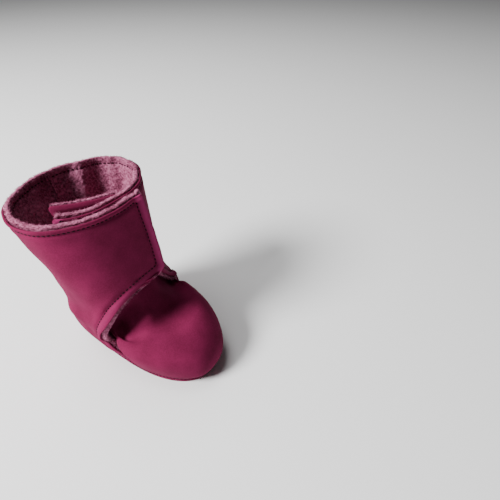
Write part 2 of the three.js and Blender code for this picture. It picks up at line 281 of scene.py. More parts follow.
class Panel:
    """One side of the shaft and the flap that it runs on into, as a single cut of cloth.

    b goes round the form in degrees from the instep, positive towards the panel's own heel edge."""

    def __init__(self, form, side, flap_low, sweep, free_low, free_top, heel_gap=0.04):
        self.form, self.side, self.flap_low, self.sweep = form, side, flap_low, sweep
        self.free_low, self.free_top, self.heel_gap = free_low, free_top, heel_gap
        self.sewn = float(form.fold_angle(np.array([0.385]), 0.35)[0])
        self.edge = self.trace()
        self.rim_start = int(np.argmax(self.edge[:, 1] > 0.9985))
        self.turn = int(np.argmax(self.edge[:, 0] < free_low + 4))

    def low(self, b):
        share = np.clip((np.abs(b) if self.side < 0 else b) / self.sewn, 0, 1)
        return self.flap_low - (self.flap_low - FLAP_FOOT) * share**self.sweep

    def face(self, b, s):
        a = self.side * b
        return self.form.lifted(a, s, self.top(a, s))

    def even(self, path, step=0.5):
        """The path again, with its points a fixed number of millimetres apart."""
        gaps = np.linalg.norm(np.diff(self.face(*path.T), axis=0), axis=1)
        run = np.concatenate([[0], np.cumsum(gaps)])
        at = np.linspace(0, run[-1], max(2, int(run[-1] / step)))
        return np.stack([np.interp(at, run, path[:, k]) for k in (0, 1)], -1)

    def trace(self):
        """The free edge: up the front of the ankle, under the flap, up its end and back along the rim."""
        corner = float(self.low(np.array(self.free_low)))
        rise = [(self.sewn, s) for s in np.linspace(HEM, FLAP_FOOT, 8)]
        under = [(b, float(self.low(b))) for b in np.linspace(self.sewn, self.free_low, 60)]
        end = [(mix(self.free_low, self.free_top, t), mix(corner, 1, t)) for t in np.linspace(0, 1, 12)]
        rim = [(b, 1.0) for b in np.linspace(self.free_top, 180, 60)]
        return smoothed(self.even(np.array(rise + under[1:] + end[1:] + rim[1:])), 5)

    def inset(self, path, distance):
        """A path moved in from the edge of the cloth, or out with a negative distance."""
        for _ in range(2):
            b, s = path.T
            here = self.face(b, s)
            along = unit(np.gradient(here, axis=0))
            inward = np.cross(self.form.outward(self.side * b, s), along) * -self.side
            round_ = self.face(b + 0.5, s) - self.face(b - 0.5, s)
            high, low = np.minimum(1, s + 0.01), np.maximum(0, s - 0.01)
            up = (self.face(b, high) - self.face(b, low)) / (high - low)[:, None]
            rr, ru, uu = (round_**2).sum(1), (round_ * up).sum(1), (up**2).sum(1)
            ri, ui = (round_ * inward).sum(1) * distance / 2, (up * inward).sum(1) * distance / 2
            det = rr * uu - ru**2
            path = path + np.stack([(ri * uu - ui * ru) / det, (ui * rr - ri * ru) / det], -1)
            path = smoothed(self.even(path), 3)
        return path

    def places(self, u, v, grow=0.0, low=HEM):
        """Grid shares to places on the form: u from the heel to the free edge, v from the hem up."""
        edge = self.edge[: self.rim_start + 1]
        if grow:
            edge = self.inset(self.edge, -grow)
            edge = edge[: int(np.argmax(edge[:, 1] > 0.9985)) + 1] if (edge[:, 1] > 0.9985).any() else edge
        edge = edge[edge[:, 1] >= low - 1e-6]
        share = np.linspace(0, 1, len(edge))
        b1, s1 = np.interp(v, share, edge[:, 0]), np.interp(v, share, edge[:, 1])
        b1[v > 0.9999], s1[v > 0.9999] = edge[-1, 0], 1
        corner = share[np.argmin(edge[:, 0] + 200 * (edge[:, 1] > 0.9))] * 0.86
        heel = np.interp(v, [0, 0.24, corner, 1], [low, 0.4, 0.82, 1])
        return mix(180 - self.heel_gap, b1, u), mix(heel, s1, u)


class OuterPanel(Panel):
    """The outer side of the shaft and the flap that closes over the instep."""

    curl, stand, fringe = 2.2, 3.6, 1.7

    def top(self, a, s):
        f = self.form
        near_rim = ease((s - 0.86) / 0.14)
        return mix(f.outer_rise, 0.8, near_rim) * ease((a + 88) / 42)


class InnerPanel(Panel):
    """The inner side of the shaft and the flap that lies under the outer one."""

    LEAN = 6.5
    curl, stand, fringe = 0.2, 0.3, 0.4

    def top(self, a, s):
        f = self.form
        lean = self.LEAN * ease((s - 0.86) / 0.14) * ease((45 - a) / 50)
        return -f.inner_depth * ease((88 - a) / 42) - lean


def ridge(form, points, start, end, width, height):
    """A soft ridge, or a groove when the height is negative, along a line between two places."""
    p, q = form.point(*start), form.point(*end)
    along = q - p
    t = np.clip(((points - p) @ along) / (along @ along), 0, 1)
    away = np.linalg.norm(points - (p + t[:, None] * along), axis=1)
    fade = 0.35 + 0.65 * np.sin(math.pi * np.clip(0.15 + 0.7 * t, 0, 1))
    return height * fade * np.exp(-((away / width) ** 2))


def waves(points, scale, height, seed):
    """Slow unevenness of soft cloth, from a few crossed waves."""
    rng = np.random.default_rng(seed)
    total = np.zeros(len(points))
    for _ in range(6):
        direction = unit(rng.normal(size=3))
        turns = 2 * math.pi / (scale * rng.uniform(0.7, 1.5))
        total += np.sin(points @ direction * turns + rng.uniform(0, 6.3))
    return height * total / 3


def edge_relief(d, inset, height=0.5):
    """Height of turned and topstitched cloth by distance from its edge: a puffed hem, then a dip."""
    puff = height * np.sin(math.pi * np.clip(d / inset, 0, 1)) ** 0.8
    dip = -0.55 * np.exp(-(((d - inset) / 0.95) ** 2))
    beyond = 0.28 * np.exp(-(((d - inset - 2.6) / 1.8) ** 2))
    return puff + dip + beyond


# Soft folds: (start, end, width, height), with places as (degrees round, share up).
OUTER_FOLDS = [
    ((-128, 0.55), (-50, 0.69), 4.6, -3.1),
    ((-112, 0.47), (-50, 0.61), 5.2, 1.9),
    ((-125, 0.66), (-92, 0.64), 6.0, -0.9),
    ((-66, 0.98), (-72, 0.76), 7.0, 0.7),
    ((-150, 0.5), (-118, 0.42), 7.0, 0.8),
    ((-20, 0.93), (8, 0.86), 9.0, -0.5),
    ((-168, 0.8), (-108, 0.84), 9.0, -2.4),
]
INNER_FOLDS = [
    ((104, 0.585), (70, 0.66), 4.6, -1.6),
    ((98, 0.5), (74, 0.58), 5.0, 1.1),
    ((107, 1.0), (101, 0.76), 3.2, 1.5),
    ((150, 0.5), (118, 0.42), 7.0, 0.8),
    ((130, 0.78), (100, 0.74), 7.0, -0.7),
]
LINING_FOLDS = [
    ((146, 1.0), (164, 0.72), 6.0, 3.4),
    ((124, 1.0), (138, 0.72), 5.5, -1.2),
    ((-150, 0.98), (-140, 0.7), 6.0, 1.2),
    ((107, 1.0), (101, 0.76), 3.2, -1.6),
]
VAMP_FOLDS = [
    ((-18, 0.6), (-44, 0.55), 3.2, 1.5),
    ((-20, 0.61), (-12, 0.68), 3.4, 1.2),
    ((-40, 0.64), (-24, 0.655), 3.0, -1.8),
    ((-62, 0.5), (-46, 0.6), 4.0, -2.2),
    ((34, 0.62), (52, 0.52), 3.6, 1.1),
    ((22, 0.66), (40, 0.66), 3.4, -1.2),
]


# ---------------------------------------------------------------- meshes


def grid_points(segments_u, segments_v):
    bm = bmesh.new()
    bmesh.ops.create_grid(bm, x_segments=segments_u, y_segments=segments_v, size=0.5)
    bm.verts.ensure_lookup_table()
    shares = np.array([v.co[:2] for v in bm.verts]) + 0.5
    return bm, np.clip(shares[:, 0], 0, 1), np.clip(shares[:, 1], 0, 1)


def write_points(bm, points):
    for vert, p in zip(bm.verts, points * MM):
        vert.co = p


def new_object(name, bm):
    mesh = bpy.data.meshes.new(name)
    bm.to_mesh(mesh)
    bm.free()
    thing = bpy.data.objects.new(name, mesh)
    bpy.context.scene.collection.objects.link(thing)
    return thing


def settle(thing):
    """Applies a piece's modifiers, so that its mesh is final."""
    bpy.context.view_layer.update()
    final = bpy.data.meshes.new_from_object(thing.evaluated_get(bpy.context.evaluated_depsgraph_get()))
    thing.modifiers.clear()
    final.name = thing.name
    thing.data = final
    return thing


def thicken(thing, thickness, levels=1):
    """Gives a sheet its thickness behind the face that shows, and rounds its edges."""
    solid = thing.modifiers.new("Thickness", "SOLIDIFY")
    solid.thickness = thickness * MM
    solid.offset = -1
    solid.use_even_offset = False
    soft = thing.modifiers.new("Rounding", "SUBSURF")
    soft.levels = soft.render_levels = levels
    return settle(thing)


def coordinates(mesh):
    flat = np.empty(len(mesh.vertices) * 3, np.float32)
    mesh.vertices.foreach_get("co", flat)
    return flat.reshape(-1, 3).astype(float)


def normals(mesh):
    flat = np.empty(len(mesh.vertices) * 3, np.float32)
    mesh.vertices.foreach_get("normal", flat)
    return flat.reshape(-1, 3).astype(float)


def tree_of(bm):
    bm.normal_update()
    return BVHTree.FromBMesh(bm)


def tree_of_object(name):
    """A search tree over the faces of a finished piece."""
    bm = bmesh.new()
    bm.from_mesh(bpy.data.objects[name].data)
    tree = tree_of(bm)
    bm.free()
    return tree


def tuck_under(thing, cover, gap):
    """Moves any point of a lining that comes nearer than the gap to the cloth over it back behind it."""
    co = coordinates(thing.data)
    for i, p in enumerate(co):
        near, n, _, _ = cover.find_nearest(Vector(p))
        rise = (Vector(p) - near).dot(n)
        aside = (Vector(p) - near - n * rise).length
        if aside < 0.4 * MM and rise > -gap * MM:
            co[i] = near - n * gap * MM
    thing.data.vertices.foreach_set("co", co.astype(np.float32).ravel())
    thing.data.update()
    return thing


def roughen(thing, height, grain):
    """Uneven pile: moves each point of a mesh along its normal by noise."""
    co, n = coordinates(thing.data), normals(thing.data)
    coarse, fine = grain * MM, 0.45 * grain * MM
    lift = np.array([noise.noise(Vector(p / coarse)) + 0.5 * noise.noise(Vector(p / fine)) for p in co])
    thing.data.vertices.foreach_set("co", (co + n * (lift * height * MM)[:, None]).astype(np.float32).ravel())
    thing.data.update()
    return thing


def copies(bm, pattern, matrices):
    """Adds the pattern mesh to a bmesh once for each matrix."""
    base = np.c_[coordinates(pattern), np.ones(len(pattern.vertices))]
    for m in matrices:
        pattern.vertices.foreach_set("co", (base @ np.array(m).T)[:, :3].astype(np.float32).ravel())
        bm.from_mesh(pattern)
    pattern.vertices.foreach_set("co", base[:, :3].astype(np.float32).ravel())


def pattern_mesh(name, build):
    bm = bmesh.new()
    build(bm)
    mesh = bpy.data.meshes.new(name)
    bm.to_mesh(mesh)
    bm.free()
    return mesh


def build_tuft(bm):
    """A clump of pile one unit long, rooted a little below its origin."""
    root = Matrix.Translation((0, 0, 0.3))
    bmesh.ops.create_cone(bm, cap_ends=True, segments=3, radius1=1, radius2=0.15, depth=1, matrix=root)


def add_pile(thing, near, count, seed, reach=3.2):
    """Short tufts of pile along the edges of a fleece: only faces within reach of the line get them."""
    rng = np.random.default_rng(seed)
    mesh = thing.data
    co, n = coordinates(mesh), normals(mesh)
    chosen = np.flatnonzero(distance_to(co / MM, near) < reach)
    if not len(chosen):
        return thing
    tuft = pattern_mesh("tuft", build_tuft)
    spread = []
    for i in rng.choice(chosen, count):
        direction = Vector(n[i] + rng.normal(0, 0.45, 3)).normalized()
        place = Vector(co[i] + rng.normal(0, 0.00035, 3) * (1 - np.abs(n[i])))
        size = Matrix.Diagonal((rng.uniform(7e-5, 1.5e-4),) * 2 + (rng.uniform(4e-4, 1.25e-3), 1))
        turn = direction.to_track_quat("Z", "Y").to_matrix().to_4x4()
        spread.append(Matrix.Translation(place) @ turn @ size)
    bm = bmesh.new()
    bm.from_mesh(mesh)
    copies(bm, tuft, spread)
    bm.to_mesh(mesh)
    bm.free()
    bpy.data.meshes.remove(tuft)
    return thing


def finish(thing, material, replaced, body=None, across=None):
    """Smooth shading, each point's place on the cloth, the material, and what the piece stands for."""
    mesh = thing.data
    place = mesh.attributes.new("cloth_place", "FLOAT_VECTOR", "POINT")
    place.data.foreach_set("vector", coordinates(mesh).astype(np.float32).ravel())
    mesh.materials.clear()
    mesh.materials.append(material)
    mesh.polygons.foreach_set("use_smooth", [True] * len(mesh.polygons))
    if replaced:
        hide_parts(*replaced)
    if across:
        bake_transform(thing)
    else:
        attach(thing, body)
    return thing


# ---------------------------------------------------------------- materials


def add(tree, kind, links=None, **settings):
    """One node with its settings; links holds inputs by name or number, as sockets or values."""
    made = tree.nodes.new(kind)
    for key, value in settings.items():
        setattr(made, key, value)
    for key, value in (links or {}).items():
        if isinstance(value, bpy.types.NodeSocket):
            tree.links.new(value, made.inputs[key])
        else:
            made.inputs[key].default_value = value
    return made


def blank(name):
    material = bpy.data.materials.new(name)
    material.use_nodes = True
    material.node_tree.nodes.clear()
    return material, material.node_tree


def rgba(value):
    return (*value, 1.0)


def cloth_material(
    name, light, deep, grain_mm, patch_mm, relief_mm, roughness, sheen, sheen_tint, weight=1.0, painted_highlight=None
):
    """Cloth whose two tones mingle at the size of its fibres, with a slower change of tone over it.
    The weight is the fine grain's against the slow change's; the painted highlight, when given, is a lighter
    colour painted over rolled hems."""
    material, tree = blank(name)
    place = add(tree, "ShaderNodeAttribute", attribute_name="cloth_place").outputs["Vector"]
    fibres = {"Vector": place, "Scale": 1000 / grain_mm, "Detail": 3.0, "Roughness": 0.65}
    grain = add(tree, "ShaderNodeTexNoise", fibres).outputs["Fac"]
    slow = {"Vector": place, "Scale": 1000 / patch_mm, "Detail": 2.0}
    patch = add(tree, "ShaderNodeTexNoise", slow).outputs["Fac"]
    both = add(tree, "ShaderNodeMath", {0: grain, 1: weight, 2: patch}, operation="MULTIPLY_ADD").outputs[0]
    middle, spread = 0.5 + 0.5 * weight, 0.28
    ends = {"Value": both, "From Min": middle - spread, "From Max": middle + spread}
    share = add(tree, "ShaderNodeMapRange", ends)
    tone = add(
        tree,
        "ShaderNodeMix",
        {"Factor": share.outputs["Result"], 6: rgba(deep), 7: rgba(light)},
        data_type="RGBA",
    )
    # Painted highlight: the lighter colour is mixed in on rolled hems by the point attribute.
    if painted_highlight:
        hem = add(tree, "ShaderNodeAttribute", attribute_name="rolled").outputs["Fac"]
        over = {"Factor": hem, 6: tone.outputs[2], 7: rgba(painted_highlight)}
        tone = add(tree, "ShaderNodeMix", over, data_type="RGBA")
    bump = add(tree, "ShaderNodeBump", {"Height": grain, "Strength": 0.75, "Distance": relief_mm * MM})
    shader = add(
        tree,
        "ShaderNodeBsdfPrincipled",
        {
            "Base Color": tone.outputs[2],
            "Roughness": roughness,
            "Normal": bump.outputs["Normal"],
            "Sheen Weight": sheen,
            "Sheen Roughness": 0.45,
            "Sheen Tint": rgba(sheen_tint),
            "Specular IOR Level": 0.08,
            "IOR": 1.46,
        },
    )
    add(tree, "ShaderNodeOutputMaterial", {"Surface": shader.outputs[0]})
    return material


def softshell():
    """Brushed knit face of softshell: matt, with a fine grain and a faint pink bloom at grazing angles.
    The knit is about 0.3 mm and is drawn at 0.7 mm so that it shows."""
    c = bpy.context.scene.bootie_colours
    # The rolled hem of each flap takes a painted highlight colour.
    return shared("softshell_brushed_knit", lambda name: cloth_material(
        name, c.softshell, c.softshell_deep, 0.7, 14, 0.12, 0.9, 0.03, linear("#D85A90"),
        painted_highlight=c.softshell_painted_highlight))


def fleece():
    """Short-pile fleece: mottled clumps of pile about 1.2 mm across, soft pale tips and darker roots."""
    c = bpy.context.scene.bootie_colours
    return shared("fleece_short_pile", lambda name: cloth_material(
        name, c.fleece, c.fleece_deep, 1.2, 9, 0.9, 0.95, 0.1, linear("#E8A0BE"), 2.0))


def thread():
    """Twisted polyester thread: darker than the cloth, with a slight gloss. Its twist is drawn at 0.4 mm."""
    c = bpy.context.scene.bootie_colours
    deep = tuple(0.6 * x for x in c.thread)
    return shared("polyester_thread_twisted", lambda name: cloth_material(
        name, c.thread, deep, 0.4, 5, 0.08, 0.6, 0.1, linear("#C06A8C")))


def hook_nylon():
    """Moulded nylon hook tape: slightly glossy, even in tone."""
    c = bpy.context.scene.bootie_colours
    deep = tuple(0.8 * x for x in c.tape)
    return shared("nylon_hook_tape_moulded", lambda name: cloth_material(
        name, c.tape, deep, 0.9, 6, 0.05, 0.42, 0.0, (1.0, 1.0, 1.0)))


def loop_nylon():
    """Brushed nylon loop tape: a low tangle of loops, matt and a little paler at the tips."""
    c = bpy.context.scene.bootie_colours
    deep = tuple(0.65 * x for x in c.tape)
    return shared("nylon_loop_tape_brushed", lambda name: cloth_material(
        name, c.tape, deep, 0.8, 5, 0.35, 0.85, 0.35, linear("#D88AB0")))


def shared(name, make):
    return bpy.data.materials.get(name) or make(name)


# ---------------------------------------------------------------- pieces


def panel_relief(panel, b, s, base, folds, seed):
    """How far the worked cloth stands off the plain form: hems, folds, the heel seam and the loose edge."""
    under, end, rim = (panel.face(*part.T) for part in np.split(panel.edge, [panel.turn, panel.rim_start]))
    d_under, d_end, d_rim = distance_to(base, under), distance_to(base, end), distance_to(base, rim)
    d_free = np.minimum(d_under, d_end)
    d = np.minimum(d_free, d_rim)
    inset = panel.form.stitch_inset
    beside = ease((d_free - d_rim) / 8 + 0.5)
    height = mix(mix(1.2, 0.7, ease((d_end - d_under) / 4 + 0.5)), 0.45, beside)
    hem = edge_relief(d, mix(inset, panel.form.rim_inset, beside), height)
    relief = waves(base, 34, 0.28, seed) + 0.16 * np.sin(base @ np.array([0.38, 0.26, 0.46])) * np.exp(-d / 5)
    for fold in folds:
        relief = relief + ridge(panel.form, base, *fold)
    relief -= 0.9 * np.exp(-(((180 - b) * 0.6 / 1.6) ** 2))
    roll = panel.curl * np.clip(1 - d_end / (inset + 1), 0, 1) ** 1.2
    curl = np.maximum(roll, 0.7 * np.clip(1 - d_under / (inset + 1), 0, 1) ** 1.2 * ease((92 - b) / 30))
    ankle = ease((s - 0.34) / 0.1) * (1 - ease((s - 0.56) / 0.2))
    stand = panel.stand * ankle * np.clip(1 - d_free / 14, 0, 1) ** 2
    press = SEWN_PRESS * (1 - ease((s - 0.3) / 0.08)) * np.clip(1 - d_free / 10, 0, 1) ** 2
    return relief + curl + stand - press, hem


def panel_surface(panel, folds, depth, seed, grow=0.0, low=HEM, lining=False):
    """A function from grid shares to the points of one face of a panel."""
    form = panel.form

    def surface(u, v):
        b, s = panel.places(tight(u, 0.6), tight(v, 0.6), grow, low)
        base = panel.face(b, s)
        relief, hem = panel_relief(panel, b, s, base, folds, seed)
        rise = relief + hem * (-0.5 if lining else 1) - depth
        points = base + form.outward(panel.side * b, s) * rise[:, None]
        if lining:
            points[:, 2] += PILE_ABOVE_RIM * ease((s - 0.985) / 0.015)
        return points

    return surface


def rolled(panel, u, v):
    """How much painted highlight each grid point takes on a rolled hem: 1 along the middle of the flap's end,
    0 off it.
    """
    base = panel.face(*panel.places(tight(u, 0.6), tight(v, 0.6)))
    under, end, _ = (panel.face(*part.T) for part in np.split(panel.edge, [panel.turn, panel.rim_start]))
    reach = panel.form.stitch_inset
    across = [np.sin(math.pi * np.clip(distance_to(base, line) / reach, 0, 1)) for line in (under, end)]
    return np.maximum(0.2 * across[0], across[1])


def sheet(name, face, segments, turned, thickness, shares=None):
    """A sheet of cloth behind the face that shows, and a search tree over that face."""
    bm, u, v = grid_points(*segments)
    write_points(bm, face(u, v))
    # Each point's share of the painted highlight on the rolled hem.
    if shares:
        layer = bm.verts.layers.float.new("rolled")
        for vert, share in zip(bm.verts, shares(u, v)):
            vert[layer] = share
    # A grid's faces point out of the form only where its first share runs with the angle.
    if turned:
        bmesh.ops.reverse_faces(bm, faces=bm.faces[:])
    tree = tree_of(bm)
    return thicken(new_object(name, bm), thickness), tree


def make_panel(panel, stem, folds, lining_folds, across, nodes, seed, segments):
    """The shell and the lining of one panel."""
    form = panel.form
    face = panel_surface(panel, folds, 0.0, seed)
    # Where the painted highlight lies on the flap's rolled hem.
    shares = partial(rolled, panel)
    shell, cover = sheet(f"{stem}_shell", face, segments, panel.side > 0, form.shell - 0.1, shares)
    finish(shell, softshell(), [f"{n}_shell" for n in nodes], across=across)
    worked = folds_for_lining(folds, lining_folds)
    face = panel_surface(panel, worked, form.layer - 0.35, seed, panel.fringe, LINING_HEM, True)
    lining, _ = sheet(f"{stem}_lining", face, segments, panel.side < 0, form.fleece)
    tuck_under(roughen(lining, 0.42, 1.9), cover, form.shell + 0.05)
    out = form.outward(panel.side * panel.edge[:, 0], panel.edge[:, 1])
    add_pile(lining, panel.face(*panel.edge.T) - out * PILE_BEHIND_EDGE, PANEL_TUFTS, seed)
    finish(lining, fleece(), [f"{n}_lining" for n in nodes], across=across)


def folds_for_lining(folds, lining_folds):
    return [(p, q, w * 1.1, h * 0.7) for p, q, w, h in folds] + [(p, q, w, -h) for p, q, w, h in lining_folds]


def outer_panel():
    form = Form()
    return OuterPanel(form, -1, 0.78, 2.2, -15, -22)


def inner_panel():
    form = Form()
    return InnerPanel(form, 1, 0.765, 1.6, -44, -59)


# Each panel: its shape, name, folds, seed, the flap and the side of the shaft it makes, and its grid.
PANELS = (
    (outer_panel, "outer_panel", OUTER_FOLDS, 11, "outer_flap", "lateral", (80, 72)),
    (inner_panel, "inner_panel", INNER_FOLDS, 12, "inner_flap", "medial", (84, 72)),
)


class BOOTIE_OT_panels(bpy.types.Operator):
    """Both sides of the shaft, with the flaps that they run on into"""

    bl_idname = "bootie.panels"
    bl_label = "Panels and flaps"

    def execute(self, context):
        for shape, stem, folds, seed, flap, side, segments in PANELS:
            panel = shape()
            across = ("boot", flap, *panel.form.fold_span(BEND_REACH))
            lining_folds = [f for f in LINING_FOLDS if f[0][0] * panel.side > 0]
            make_panel(panel, stem, folds, lining_folds, across, [f"{side}_panel", flap], seed, segments)
        return {"FINISHED"}


def vamp_surface(form, panel, depth, low):
    """The vamp: over the toes and the instep, tucked under the panels at its sides."""
    sewn = panel.sewn

    def surface(u, v):
        s = mix(low, 0.78, tight(v, 0.3))
        half = sewn - 1 + 13 * ease((s - 0.1) / 0.06) - 36 * ease((s - 0.42) / 0.36)
        a = mix(-half, half, tight(u, 0.3))
        loose = ease((s - 0.36) / 0.12)
        side = ease((np.abs(a) - sewn + mix(10, 20, loose)) / mix(8, 16, loose)) * ease((s - 0.06) / 0.04)
        aside = ease(np.abs(a) / 70)
        instep = ease((s - mix(0.6, 0.36, aside)) / mix(0.15, 0.24, aside))
        tuck = form.side_tuck * side * (1 - instep) + form.tongue_depth * instep
        base = form.lifted(a, s, -tuck)
        relief = waves(base, 30, 0.3, 5)
        flat = form.lifted(a, s, 0 * s)
        for fold in VAMP_FOLDS:
            relief = relief + ridge(form, flat, *fold)
        return base + form.outward(a, s) * (relief - depth)[:, None]

    return surface


class BOOTIE_OT_vamp(bpy.types.Operator):
    """Vamp over the toes, with its lining"""

    bl_idname = "bootie.vamp"
    bl_label = "Vamp"

    def execute(self, context):
        panel = outer_panel()
        form = panel.form
        grid = (86, 62)
        face = vamp_surface(form, panel, 0.0, HEM)
        shell, cover = sheet("vamp_shell_cloth", face, grid, False, form.shell)
        finish(shell, softshell(), ["vamp_shell"], "boot")
        face = vamp_surface(form, panel, form.layer + 0.6, LINING_HEM)
        lining, _ = sheet("vamp_lining_cloth", face, grid, True, 0.5 * form.fleece)
        tuck_under(roughen(lining, 0.34, 1.7), cover, form.shell + 0.6)
        finish(lining, fleece(), ["vamp_lining"], "boot")
        return {"FINISHED"}


class Tongue:
    """The tongue: its foot is sewn under the top of the vamp and its top leans into the opening."""

    FOOT_ENDS = (-42, 36)

    def __init__(self, form):
        self.form = form
        front = form.rim_front + form.tongue_depth + InnerPanel.LEAN - 1.2
        self.top_ends = np.array([
            [-0.25 * form.rim_width, form.rim_middle + 2, form.shaft_height - 1],
            [0.135 * form.rim_width, front, form.shaft_height - 2],
        ])

    def middle(self, u, v):
        corner = 0.06 * (1 - np.sqrt(1 - np.clip(1 - (1 - v) / 0.1, 0, 1) ** 2))
        across = mix(corner, 1 - corner, u)
        a = mix(*self.FOOT_ENDS, across)
        s = 0.79 + 0.03 * (a / 42) ** 2
        foot = self.form.lifted(a, s, np.full(len(u), -self.form.tongue_depth))
        top = mix(self.top_ends[0], self.top_ends[1], across[:, None])
        top[:, 1] -= 10 * across * (1 - across)
        return mix(foot, top, v[:, None])

    def outward(self, u, v):
        x, y = np.clip(u, 0.02, 0.98), np.clip(v, 0.02, 0.98)
        round_ = self.middle(x + 0.02, y) - self.middle(x - 0.02, y)
        up = self.middle(x, y + 0.02) - self.middle(x, y - 0.02)
        return unit(np.cross(round_, up))

    def outline(self):
        t = np.linspace(0, 1, 90)
        left = self.middle(0 * t, t)
        top = self.middle(t, 0 * t + 1)
        right = self.middle(0 * t + 1, 1 - t)
        return np.concatenate([left, top, right])

    def surface(self, depth, lining):
        edge = self.outline()

        def face(u, v):
            u, v = tight(u, 0.5), mix(-0.07, 1.012 if lining else 1, tight(v, 0.5))
            base = self.middle(u, v)
            d = distance_to(base, edge)
            hem = edge_relief(d, self.form.stitch_inset) * (-0.5 if lining else 1)
            relief = hem + waves(base, 26, 0.25, 8)
            return base + self.outward(u, v) * (relief - depth)[:, None]

        return face


class BOOTIE_OT_tongue(bpy.types.Operator):
    """Tongue behind the flaps, with its lining"""

    bl_idname = "bootie.tongue"
    bl_label = "Tongue"

    def execute(self, context):
        form = Form()
        tongue = Tongue(form)
        foot, bent = tongue.middle(np.array([0.5, 0.5]), np.array([0.0, 0.16])) * MM
        across = ("boot", "tongue", foot - (bent - foot) * 0.3, bent)
        grid = (34, 36)
        face = tongue.surface(0.0, False)
        shell, cover = sheet("tongue_shell_cloth", face, grid, False, form.shell - 0.1)
        finish(shell, softshell(), ["tongue_shell"], across=across)
        face = tongue.surface(form.layer, True)
        lining, _ = sheet("tongue_lining_cloth", face, grid, True, form.fleece)
        tuck_under(roughen(lining, 0.38, 1.8), cover, form.shell + 0.05)
        line = tongue.outline()
        out = tongue.outward(np.full(len(line), 0.5), np.full(len(line), 0.9))
        add_pile(lining, line - out * PILE_BEHIND_EDGE, TONGUE_TUFTS, 31)
        finish(lining, fleece(), ["tongue_lining"], across=across)
        return {"FINISHED"}


def sole_outline(form, inset, count=120):
    """The outline of the form at the hem, let in all round."""
    a = np.linspace(0, 360, count, endpoint=False)
    s = np.full(count, HEM)
    n = form.outward(a, s) * [1, 1, 0]
    return form.at(a, s) - unit(n) * inset


def sole_disc(form, inset, height):
    """A bmesh with one flat face in the outline of the sole."""
    bm = bmesh.new()
    outline = sole_outline(form, inset)
    for vert in bmesh.ops.create_circle(bm, cap_ends=True, segments=len(outline), radius=1)["verts"]:
        angle = math.degrees(math.atan2(vert.co.y, vert.co.x))
        x, y, _ = outline[int(round((angle + 90) * len(outline) / 360)) % len(outline)]
        vert.co = (x * MM, y * MM, height)
    return bm


class BOOTIE_OT_outsole(bpy.types.Operator):
    """Soft flat sole with a rounded, seamed edge"""

    bl_idname = "bootie.outsole"
    bl_label = "Outsole"

    def execute(self, context):
        form = Form()
        thickness = (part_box("outsole")[1].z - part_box("outsole")[0].z) / MM
        bm = sole_disc(form, 0.2, 0)
        bmesh.ops.recalc_face_normals(bm, faces=bm.faces[:])
        if bm.faces[:][0].normal.z > 0:
            bmesh.ops.reverse_faces(bm, faces=bm.faces[:])
        base = bm.faces[:]
        # Rings let into the underside give it a shallow groove round its edge.
        for step, rise in ((0.6, 0.0), (2.6, 0.0), (0.5, 0.3), (0.5, -0.3), (6.0, 0.0)):
            wide, deep = step * MM, -rise * MM
            bmesh.ops.inset_region(bm, faces=base, thickness=wide, depth=deep, use_even_offset=True)
        up = bmesh.ops.extrude_face_region(bm, geom=[e for e in bm.edges if e.is_boundary])
        top = [g for g in up["geom"] if isinstance(g, bmesh.types.BMVert)]
        bmesh.ops.translate(bm, verts=top, vec=(0, 0, thickness * MM))
        bmesh.ops.contextual_create(bm, geom=[e for e in bm.edges if e.is_boundary])
        bmesh.ops.recalc_face_normals(bm, faces=bm.faces[:])
        rim = [e for e in bm.edges if len(e.link_faces) == 2 and e.calc_face_angle() > 1.0]
        bmesh.ops.bevel(bm, geom=rim, offset=0.6 * MM, segments=3, profile=0.5, affect="EDGES", material=-1)
        thing = new_object("sole_cloth", bm)
        finish(thing, softshell(), ["outsole"], "boot")
        return {"FINISHED"}


class BOOTIE_OT_insole(bpy.types.Operator):
    """Padded fleece insole, swollen by a short cloth simulation"""

    bl_idname = "bootie.insole"
    bl_label = "Insole"

    def execute(self, context):
        form = Form()
        low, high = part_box("insole")
        thickness = high.z - low.z
        bm = sole_disc(form, INSOLE_INSET, low.z + 0.2 * MM)
        up = bmesh.ops.extrude_face_region(bm, geom=bm.faces[:])
        top = [g for g in up["geom"] if isinstance(g, bmesh.types.BMVert)]
        bmesh.ops.translate(bm, verts=top, vec=(0, 0, thickness - 0.6 * MM))
        bmesh.ops.recalc_face_normals(bm, faces=bm.faces[:])
        thing = new_object("insole_pad", bm)
        voxels = thing.modifiers.new("Remesh", "REMESH")
        voxels.mode, voxels.voxel_size = "VOXEL", 1.2 * MM
        settle(thing)
        start = coordinates(thing.data)
        swell(thing, start, 0.9 * MM)
        # The pad lies on the sole, and its edge is sewn down: a shallow channel runs round it.
        co = coordinates(thing.data)
        co[:, 2] = np.maximum(co[:, 2], low.z + 0.05 * MM)
        d = distance_to(co[:, :2] / MM, sole_outline(form, INSOLE_INSET)[:, :2])
        sunk = 0.55 * np.exp(-(((d - 3) / 1.0) ** 2)) * (co[:, 2] > low.z + thickness / 2)
        co[:, 2] -= sunk * MM
        thing.data.vertices.foreach_set("co", co.astype(np.float32).ravel())
        soft = thing.modifiers.new("Rounding", "SUBSURF")
        soft.levels = soft.render_levels = 1
        settle(thing)
        roughen(thing, 0.2, 1.6)
        finish(thing, fleece(), ["insole"], "boot")
        return {"FINISHED"}


